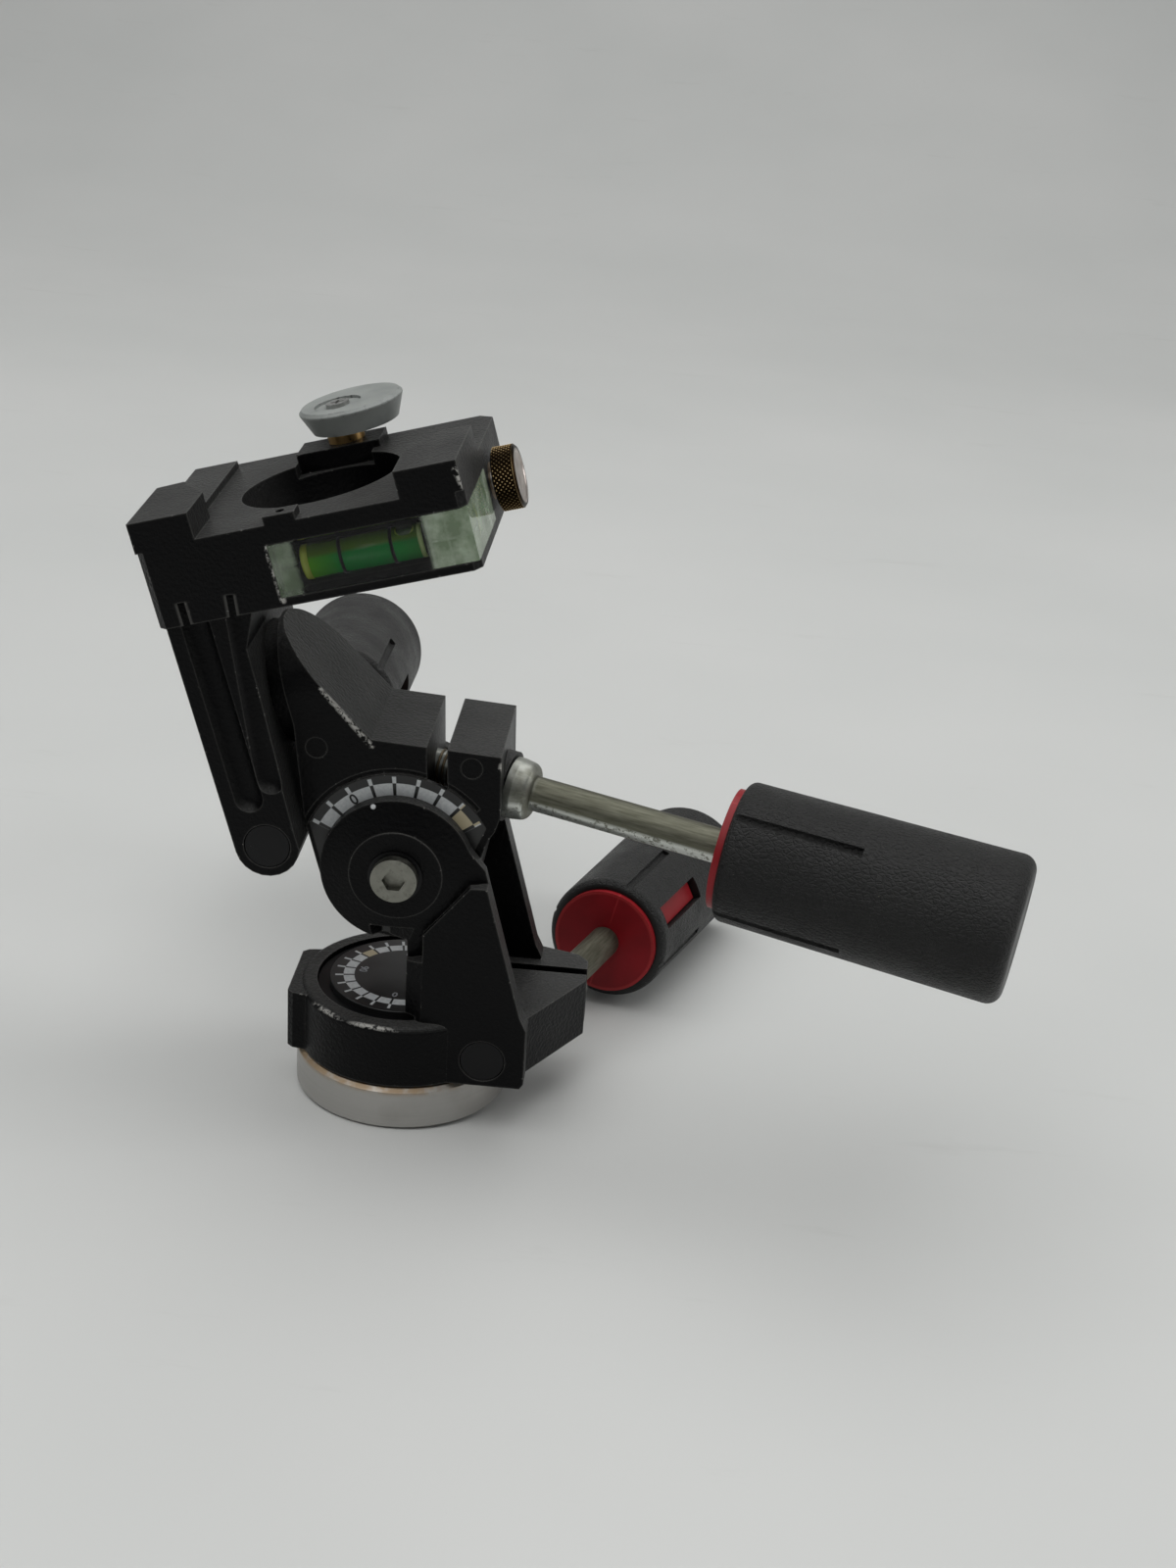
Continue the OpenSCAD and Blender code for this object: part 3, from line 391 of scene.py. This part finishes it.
def metal(name, color, roughness, dirt=(0.2, 0.18, 0.15), dirty=0.3, speckle=0.0):
    """Bare metal with stains, and dull speckles where speckle is above 0."""
    s = Shader(name, metallic=1.0)
    stain = s.math("MULTIPLY", s.ramp(s.noise(70, 7, 0.65), 0.48, 0.72), dirty)
    if speckle:
        spots = s.math("MULTIPLY", s.ramp(s.noise(650, 5, 0.7), 0.54, 0.62), speckle)
        stain = s.math("MAXIMUM", stain, spots)
    s.color(s.mix(stain, color, dirt))
    grain = s.noise(500, 3)
    s.rough(s.ramp(grain, 0.3, 0.7, roughness - 0.08, roughness + 0.14))
    s.bump(grain, 0.12, 0.05)
    return s.material


def rod_zinc(name, matrix):
    """Zinc plate gone dull and olive, lighter in patches near the hub, with a speckled painted reflection
    along the side that faces down and to the front.
    """
    s = Shader(name, metallic=0.8)
    along = s.mapped(matrix)
    long_grain = s.noise(500, 4, coord=s.stretched((3, 3, 0.3), along))
    dull = s.mix(s.ramp(long_grain, 0.3, 0.7), (0.085, 0.085, 0.06), (0.17, 0.17, 0.13))
    # Pale streak where the rod faces down and to the front: a painted reflection of the bright floor, broken
    # by dull speckles.
    under = s.ramp(s.facing((0.0, -0.86, -0.51)), 0.84, 0.93)
    spots = s.ramp(s.noise(650, 5, 0.7), 0.53, 0.60, 1, 0.15)
    bright = s.math("MULTIPLY", under, spots)
    hub = s.ramp(s.separate(along)[Z], 5 * MM, 8 * MM, 0.8, 0)
    bright = s.math("MAXIMUM", bright, s.math("MULTIPLY", hub, s.ramp(s.noise(90, 4), 0.35, 0.65)))
    s.color(s.mix(bright, dull, (0.62, 0.64, 0.60)))
    s.rough(s.ramp(bright, 0, 1, 0.5, 0.28))
    s.bump(long_grain, 0.15, 0.05)
    return s.material


def base_metal():
    """Turned disc, bare metal, with a tan worn band under the pan housing."""
    s = Shader("base_metal")
    z = s.separate(s.coord)[Z]
    marked = s.math("MULTIPLY", s.ramp(z, 10.2 * MM, 11.8 * MM), s.ramp(s.noise(160, 6), 0.38, 0.55))
    stain = s.math("MULTIPLY", s.ramp(s.noise(55, 6), 0.5, 0.75), 0.4)
    body = s.mix(stain, (0.48, 0.47, 0.45), (0.30, 0.28, 0.25))
    s.color(s.mix(marked, body, (0.36, 0.26, 0.16)))
    s.set("Metallic", s.ramp(marked, 0, 1, 1.0, 0.3))
    lines = s.noise(300, 3, coord=s.stretched((0.05, 0.05, 4)))
    s.rough(s.ramp(lines, 0.3, 0.7, 0.34, 0.52))
    s.bump(lines, 0.15, 0.05)
    return s.material


def dial(name, matrix, axes, radii, zero, aged, span=None):
    """Black face with a ring of white blocks, a black line between them and a white tick beyond each line.

    A dial that spans only part of the ring has its zero printed on a block, with no line there.
    """
    s = Shader(name)
    radius, angle = s.polar(s.mapped(matrix), *axes)
    inner, middle, outer = (r * MM for r in radii)
    soft = 0.06 * MM
    line = s.teeth(angle, STEP, LINE, zero)
    gap = line
    if span:
        from_zero = s.math("ABSOLUTE", s.math("SUBTRACT", angle, zero))
        gap = s.math("MULTIPLY", line, s.ramp(from_zero, 2, 3))
    block = s.math("MULTIPLY", s.band(radius, inner, middle, soft), s.math("SUBTRACT", 1.0, gap))
    mark = s.math("MAXIMUM", block, s.math("MULTIPLY", s.band(radius, middle, outer, soft), line))
    if span:
        mark = s.math("MULTIPLY", mark, s.band(angle, *span, SOFT))
    white = s.mix(s.ramp(s.noise(1200, 3), 0.35, 0.7), (0.50, 0.52, 0.53), (0.62, 0.64, 0.64))
    white = s.mix(s.band(angle, *aged, 2 * SOFT), white, (0.46, 0.40, 0.26))
    s.color(s.mix(mark, (0.008, 0.008, 0.008), white))
    s.rough(s.ramp(s.noise(80, 4), 0.3, 0.7, 0.28, 0.42))
    return s.material


def red_plastic(name, matrix):
    """Moulded red plastic: darker face, lighter rim and two fine mould lines on it."""
    s = Shader(name, 0.42, specular=0.3)
    radius, angle = s.polar(s.mapped(matrix), X, Y)
    blotch = s.mix(s.ramp(s.noise(70, 5), 0.4, 0.75), (0.27, 0.004, 0.010), (0.17, 0.003, 0.006))
    face = s.ramp(s.math("ABSOLUTE", s.facing(axis_of(matrix))), 0.7, 0.95, 0.05, 0.4)
    rim = s.math("MULTIPLY", s.ramp(radius, 15.1 * MM, 15.5 * MM), face)
    line = s.math("MULTIPLY", s.teeth(angle, 180, 1.6, 12), s.ramp(radius, 6 * MM, 7 * MM))
    s.color(s.mix(s.math("MAXIMUM", rim, s.math("MULTIPLY", line, 0.4)), blotch, (0.55, 0.05, 0.05)))
    s.bump(s.noise(500, 3), 0.08, 0.1)
    return s.material


def grip_rubber(name, matrix):
    """Black rubber with a leathery grain: fine crossing wrinkles, a painted sheen where it faces up, a few
    dust specks and smooth ends.
    """
    s = Shader(name, specular=0.36)
    along = s.mapped(matrix)
    side = s.ramp(s.math("ABSOLUTE", s.facing(axis_of(matrix))), 0.75, 0.95, 1, 0)
    rubber = s.mix(s.ramp(s.noise(26, 4), 0.35, 0.7), (0.004, 0.004, 0.004), (0.009, 0.009, 0.0085))
    # Lighter where the grip faces up: a painted sheen of the light above.
    up = s.ramp(s.facing((0.0, 0.0, 1.0)), 0.1, 1.0, 0, 0.6)
    rubber_with_sheen = s.mix(up, rubber, (0.022, 0.022, 0.021))
    speck = s.ramp(s.noise(700, 2), 0.79, 0.81)
    s.color(s.mix(speck, rubber_with_sheen, (0.30, 0.28, 0.22)))
    s.rough(s.ramp(s.noise(90, 4), 0.3, 0.7, 0.36, 0.56))
    wrinkles = s.ramp(s.cells(850, s.stretched((1, 1, 0.7), along)), 0, 0.2)
    coarse = s.bump(s.math("MULTIPLY", s.noise(800, 5, 0.7, along), side), 1.0, 0.9)
    s.bump(s.math("MULTIPLY", wrinkles, side), 0.8, 0.25, coarse)
    return s.material


def clear_plastic():
    """Clear greenish plastic, milky in the moulded blocks beyond the vials' ends, with bright seams."""
    walls = (34.2, 38.6)                        # inner walls across the platform, each seen as a seam
    seam_half, seam_soft = 0.3, 0.2
    s = Shader("clear_plastic", 0.04)
    s.set("IOR", 1.33)
    x, _, z = s.separate(s.mapped(TILTED))
    # how milky the blocks to the right and left of the long vial are
    right = s.ramp(x, 32.8 * MM, 34.0 * MM, 0, 0.45)
    left = s.ramp(x, -0.8 * MM, 0.2 * MM, 0.24, 0)
    ends = s.math("MAXIMUM", right, left)
    seams = s.band(z, (VIAL_Z - 0.3) * MM, (VIAL_Z + 0.2) * MM, 0.15 * MM)
    for wall in walls:
        seam = s.band(x, (wall - seam_half) * MM, (wall + seam_half) * MM, seam_soft * MM)
        seams = s.math("MAXIMUM", seams, seam)
    seams = s.math("MULTIPLY", seams, s.ramp(s.noise(260, 3), 0.45, 0.60, 0.1, 1.0))
    seams = s.math("MULTIPLY", seams, s.ramp(ends, 0.1, 0.4, 0, 0.5))
    milky = s.math("MAXIMUM", ends, seams)
    s.set("Transmission Weight", s.ramp(milky, 0, 1, 1.0, 0.0))
    cloud = s.mix(s.ramp(s.noise(170, 5), 0.38, 0.62), (0.74, 0.86, 0.68), (0.34, 0.44, 0.29))
    s.color(s.mix(s.ramp(ends, 0, 0.1), (0.93, 0.97, 0.90), s.mix(seams, cloud, (0.80, 0.90, 0.76))))
    s.bump(s.noise(180, 3), 0.06, 0.1)
    return s.material


def liquid(name, matrix, start, end):
    """Green liquid along X: yellow green at the left end, deep green in the middle, olive along the top."""
    s = Shader(name, 0.12)
    s.set("Transmission Weight", 0.15)
    s.set("IOR", 1.3)
    x, _, z = s.separate(s.mapped(matrix))
    third = (end - start) / 3
    deep = s.ramp(x, (start + 2) * MM, (start + third) * MM)
    color = s.mix(deep, (0.10, 0.38, 0.008), (0.002, 0.21, 0.035))
    color = s.mix(s.ramp(x, (end - third) * MM, end * MM, 0, 0.5), color, (0.05, 0.26, 0.05))
    s.color(s.mix(s.ramp(z, 1.3 * MM, 2.2 * MM, 0, 0.8), color, (0.09, 0.13, 0.008)))
    return s.material


def air(name, matrix, x, length):
    """Bubble: dark inside and yellow green along its outline."""
    half_height = 3.0
    s = Shader(name, 0.12)
    parts = s.separate(s.mapped(matrix))
    a = s.math("DIVIDE", s.math("SUBTRACT", parts[X], x * MM), length / 2 * MM)
    b = s.math("DIVIDE", s.math("SUBTRACT", parts[Z], VIAL_R * MM), half_height * MM)
    s.color(s.mix(s.ramp(s.length(a, b), 0.62, 0.80), (0.012, 0.035, 0.008), (0.34, 0.44, 0.05)))
    return s.material


def cam_grey():
    """Grey paint, chipped to black along its edges."""
    s = Shader("cam_grey", 0.48)
    chipped = s.math("MULTIPLY", s.edge(1.6, 0.01, 0.12), s.ramp(s.noise(420, 6), 0.54, 0.60, 0, 0.8))
    body = s.mix(s.ramp(s.noise(90, 5), 0.35, 0.7), (0.22, 0.235, 0.225), (0.30, 0.315, 0.30))
    s.color(s.mix(chipped, body, (0.05, 0.05, 0.05)))
    s.bump(s.noise(500, 3), 0.10, 0.1)
    return s.material


def plain(name, color, roughness=0.5):
    """One colour, a fifth darker in soft patches, with a fine grain."""
    s = Shader(name, roughness)
    s.color(s.mix(s.ramp(s.noise(120, 4), 0.35, 0.7), color, tuple(c * 0.8 for c in color)))
    s.bump(s.noise(400, 3), 0.08, 0.1)
    return s.material


def knob_brass(matrix):
    """Brass, bright on the knurl's tips and dark between them, with a dull stained face."""
    s = Shader("knob_brass", metallic=1.0)
    radius, _ = s.polar(s.mapped(matrix), X, Y)
    tips = s.ramp(radius, (KNOB_R - 0.26) * MM, (KNOB_R - 0.04) * MM)
    side = s.mix(tips, (0.018, 0.010, 0.004), (0.55, 0.40, 0.20))
    face = s.mix(s.ramp(s.noise(160, 6), 0.40, 0.65), (0.62, 0.56, 0.52), (0.38, 0.32, 0.29))
    s.color(s.mix(s.ramp(radius, (KNOB_R - 1.5) * MM, (KNOB_R - 1.2) * MM), face, side))
    s.rough(s.ramp(s.noise(300, 4), 0.3, 0.7, 0.26, 0.46))
    s.bump(s.noise(500, 3), 0.1, 0.05)
    return s.material


def dress_nodes():
    """Gives every CAD node that stays its material."""
    steel = metal("steel", (0.50, 0.50, 0.49), 0.30)
    bolt_steel = metal("bolt_steel", (0.24, 0.24, 0.21), 0.42,
                       dirt=(0.08, 0.075, 0.06), dirty=0.7, speckle=0.4)
    brass = metal("brass", (0.50, 0.32, 0.13), 0.34, dirt=(0.14, 0.08, 0.04), dirty=0.6)
    turned_metal = metal("turned_metal", (0.56, 0.55, 0.53), 0.34)
    black_plastic = smooth_black("black_plastic")
    pan_face = dial("pan_dial_face", Matrix.Identity(4), (X, Y), PAN_RADII, PAN_ZERO, PAN_AGED)
    tilt_face = dial("tilt_scale_face", TILTED, (X, Z), TILT_RADII, TILT_ZERO, TILT_AGED, TILT_SPAN)
    dress(cast_black(), "pan_yoke", "tilt_block", "camera_bracket", "lock_lever")
    dress(cam_grey(), "lock_cam")
    dress(black_plastic, "pan_plug", "side_plug", "side_cap", "tilt_washers", "pan_retainer")
    dress(base_metal(), "base_plate")
    dress(steel, "spindle_screws", "tilt_nut", "side_bolt", "cam_shaft", "cam_screw")
    dress(steel, "catch_pin", "catch_spring", "tripod_insert")
    dress(bolt_steel, "tilt_bolt")
    dress(turned_metal, "pan_spindle", "side_stem", "tilt_drum")
    for name, matrix in HANDLES.items():
        dress(rod_zinc(name + "_rod_zinc", matrix), name + "_rod")
        dress(red_plastic(name + "_red", matrix), name + "_core")
        dress(grip_rubber(name + "_rubber", matrix), name + "_grip")
    dress(brass, "cam_bush", "catch_bush", "catch_knob", "side_retainer")
    dress(plain("bearing_white", (0.72, 0.70, 0.64)), "pan_sleeve", "tilt_sleeve", "side_sleeve")
    dress(pan_face, "pan_dial")
    dress(tilt_face, "tilt_scale")
    dress(clear_plastic(), "level_body")


# ---------------------------------------------------------------- pieces of real geometry
def hand_over(obj, material, body):
    """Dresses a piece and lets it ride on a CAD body."""
    dress(material, obj)
    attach(obj, body)


def piece(name, verts, faces, material, body, matrix, smooth=True):
    """A mesh drawn in millimetres in the frame that matrix gives, riding on a CAD body."""
    mesh = bpy.data.meshes.new(name)
    mesh.from_pydata([tuple(c * MM for c in v) for v in verts], [], faces)
    mesh.transform(matrix)
    mesh.polygons.foreach_set("use_smooth", [smooth] * len(faces))
    mesh.update()
    obj = add(name, mesh)
    hand_over(obj, material, body)
    return obj


def skin(rings, count, closed=True):
    """Faces between rings of count points each, with a face over either end of a closed skin."""
    faces = []
    for i in range(rings - 1):
        for k in range(count):
            after = (k + 1) % count
            faces.append((i * count + k, i * count + after, (i + 1) * count + after, (i + 1) * count + k))
    if closed:
        faces.append(tuple(range(count))[::-1])
        faces.append(tuple((rings - 1) * count + k for k in range(count)))
    return faces


def lathe(profile, count=64, closed=True):
    """Points and faces of a profile of (radius, z) turned about Z."""
    verts = [(r * math.cos(2 * math.pi * k / count), r * math.sin(2 * math.pi * k / count), z)
             for r, z in profile for k in range(count)]
    return verts, skin(len(profile), count, closed)


def knurled_knob():
    """Brass knob with a diamond knurl cut round its rim, and a sunk face."""
    diamonds, fineness, rows = 40, 8, 32        # diamonds round the rim, points round each, rows along it
    along, pitch, cut = 5.2, 1.3, 0.5           # the knurl's length, pitch and depth in millimetres
    count = diamonds * fineness
    low = (KNOB_T - along) / 2
    high = KNOB_T - low

    def wave(t):
        """Triangle wave between 0 and 1."""
        return abs(2 * (t - math.floor(t)) - 1)

    def knurl(share, z):
        """Radius at a share of the full turn and a height along the rim."""
        rising, falling = diamonds * share + z / pitch, diamonds * share - z / pitch
        return KNOB_R - cut * (1 - min(wave(rising), wave(falling)))

    profile = [(0.0, KNOB_R - 1.6), (0.05, KNOB_R - 1.1), (low, KNOB_R - 0.15)]         # inner end
    profile += [(low + along * i / rows, None) for i in range(rows + 1)]                # knurled rim
    profile += [(high, KNOB_R - 0.15), (KNOB_T - 0.25, KNOB_R - 0.55), (KNOB_T, KNOB_R - 0.8)]
    profile += [(KNOB_T, KNOB_R - 1.9), (KNOB_T - 0.25, KNOB_R - 2.3), (KNOB_T - 0.25, 0.6)]    # sunk face
    verts = []
    for z, plain_radius in profile:
        for k in range(count):
            share = k / count
            radius = knurl(share, z) if plain_radius is None else plain_radius
            verts.append((radius * math.cos(2 * math.pi * share), radius * math.sin(2 * math.pi * share), z))
    faces = skin(len(profile), count)
    matrix = TILTED @ place(*KNOB_SEAT) @ turn(90, "Y")
    knob = piece("knob_knurled", verts, faces, knob_brass(matrix), "catch", matrix, smooth=False)
    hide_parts("catch_knob")


def bubble(name, length, x, matrix):
    """Flat bubble in the top of a vial, centred at x."""
    radius, blunt, tip, steps, count = 2.7, 0.6, 0.02, 12, 32
    wide, flat = 1.36, 0.6                      # its width and height against a round bubble's
    deep = 1.4                                  # its centre below the vial's top
    profile = []
    for i in range(steps + 1):
        a = math.pi * i / steps
        profile.append((radius * math.sin(a) ** blunt + tip, -length / 2 * math.cos(a)))
    verts, faces = lathe(profile, count)
    shape = Matrix.Diagonal((1, wide, flat, 1)) @ turn(90, "Y")
    spot = matrix @ place(x, 0, VIAL_R - deep) @ shape
    material = air(name + "_air", matrix, x, length)
    piece(name + "_bubble", verts, faces, material, "bracket", spot)


def vial(name, ends, marks, bubble_length, bubble_x, matrix, node):
    """Tube of green liquid along X with end caps, black lines round it at marks and a bubble at the top."""
    start, end = ends
    left, right = start + 2.0, end - 1.2        # where the caps meet the tube
    bevel, inset, joint = 0.4, 0.5, 0.02        # length and height of a cap's bevel, and its gap to the tube
    half_line, proud = 0.42, 0.2                # half a black line's width, and how far it stands out

    def turned(ending, profile, material, closed=True):
        verts, faces = lathe(profile, closed=closed)
        along = matrix @ turn(90, "Y")
        return piece(name + ending, verts, faces, material, "bracket", along)

    tube = turned("_tube", [(VIAL_R, left), (VIAL_R, right)], liquid(name + "_green", matrix, start, end))
    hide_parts(node)
    turned("_left", [(VIAL_R - inset, start), (VIAL_R, start + bevel), (VIAL_R, left - joint)],
           plain(name + "_yellow", (0.38, 0.44, 0.06), 0.25))
    turned("_right", [(VIAL_R, right + joint), (VIAL_R, end - bevel), (VIAL_R - inset, end)],
           plain(name + "_pale", (0.30, 0.38, 0.16), 0.25))
    black = smooth_black(name + "_black", 0.5)
    for i, x in enumerate(marks):
        low, high = x - half_line, x + half_line
        ring = [(VIAL_R, low), (VIAL_R + proud, low), (VIAL_R + proud, high), (VIAL_R, high)]
        turned(f"_line{i}", ring, black, closed=False)
    bubble(name, bubble_length, bubble_x, matrix)


def vials():
    vial("long_level", LONG_VIAL, marks=(11.2, 24.3), bubble_length=6.5, bubble_x=28.0,
         matrix=TILTED @ place(0, -HALF_W + VIAL_IN, VIAL_Z), node="long_vial")
    vial("short_level", SHORT_VIAL, marks=(-18.0, -10.0), bubble_length=6.0, bubble_x=-14.0,
         matrix=TILTED @ place(PLAT_END - VIAL_IN, 0, VIAL_Z) @ turn(90, "Z"), node="short_vial")


def thread(name, low, high, matrix, body):
    """Ridge of the clamp screw's thread, seen in the slit of a clamp."""
    pitch, sides = 1.5, 24
    sunk, proud, half_width = 0.1, 0.36, 0.55   # of the ridge, against the screw's surface
    ridge = ((SCREW_R - sunk, -half_width), (SCREW_R + proud, 0.0), (SCREW_R - sunk, half_width))
    corners = len(ridge)
    count = int((high - low) / pitch * sides)
    verts, faces = [], []
    for i in range(count + 1):
        a, z = 2 * math.pi * i / sides, low + (high - low) * i / count
        verts += [(r * math.cos(a), r * math.sin(a), z + dz) for r, dz in ridge]
    for i in range(count):
        for k in range(corners):
            here, after = corners * i + k, corners * i + (k + 1) % corners
            faces.append((here, after, after + corners, here + corners))
    last = corners * count
    faces += [(0, 2, 1), (last, last + 1, last + 2)]
    greasy = metal(name + "_steel", (0.30, 0.24, 0.16), 0.38, dirt=(0.06, 0.04, 0.02), dirty=0.8)
    piece(name, verts, faces, greasy, body, matrix)


def digits(name, text, height, radius, angle, surface, up, body, color):
    """Flat printed digits on a dial: surface maps the plane of the text, up turns their tops."""
    digit_height, lift = 0.72, 0.03             # a digit's height at text size 1; millimetres above the face
    curve = bpy.data.curves.new(name + "_text", "FONT")
    curve.body = text
    curve.align_x, curve.align_y = "CENTER", "CENTER"
    curve.extrude, curve.offset = 0.01, 0.015   # thickness, and a stroke a little bolder than the font's
    source = add(name + "_text", curve)
    bpy.context.view_layer.update()
    mesh = bpy.data.meshes.new_from_object(source.evaluated_get(bpy.context.evaluated_depsgraph_get()))
    bpy.data.objects.remove(source)
    size = height / digit_height * MM
    a = math.radians(angle)
    spot = surface @ place(radius * math.cos(a), radius * math.sin(a), lift) @ turn(angle + up, "Z")
    mesh.transform(spot @ Matrix.Diagonal((size, size, size * 2, 1)))
    hand_over(add(name, mesh), plain(name + "_ink", color), body)


def printed_digits():
    top = place(0, 0, DIAL_TOP)
    for text, quarter in (("0", 0), ("90", -90), ("180", 180), ("270", 90)):
        digits("pan_" + text, text, height=2.3, radius=12.0, angle=PAN_ZERO + quarter,
               surface=top, up=90, body="base", color=(0.34, 0.35, 0.37))
    face = TILTED @ place(0, -BLOCK_Y, 0) @ turn(90, "X")
    digits("tilt_0", "0", height=3.0, radius=21.9, angle=TILT_ZERO,
           surface=face, up=-90, body="tilt_head", color=(0.01, 0.01, 0.01))


def index_dot():
    """White dot on the near boss, which marks the tilt."""
    radius, past_zero = 19.7, 1.3               # millimetres from the tilt axis; degrees past the drawn zero
    seat = -EAR_OUT + 2.4                       # the boss slopes back from the ear's outer face
    a = math.radians(TILT_ZERO + past_zero)
    verts, faces = lathe([(0.75, 0), (0.68, 0.25), (0.45, 0.45), (0.12, 0.52)], 24)
    spot = place(radius * math.cos(a), seat, AXIS_H + radius * math.sin(a)) @ turn(90, "X")
    white = plain("index_white", (0.75, 0.77, 0.78), 0.4)
    piece("index_dot", verts, faces, white, "yoke", spot)


make_camera()
make_floor()
make_lights()
dress_nodes()
knurled_knob()
vials()
printed_digits()
index_dot()
thread("tilt_thread", low=-21.0, high=-16.4, matrix=HANDLES["tilt"], body="tilt_handle")

bpy.context.scene.view_settings.view_transform = "Standard"
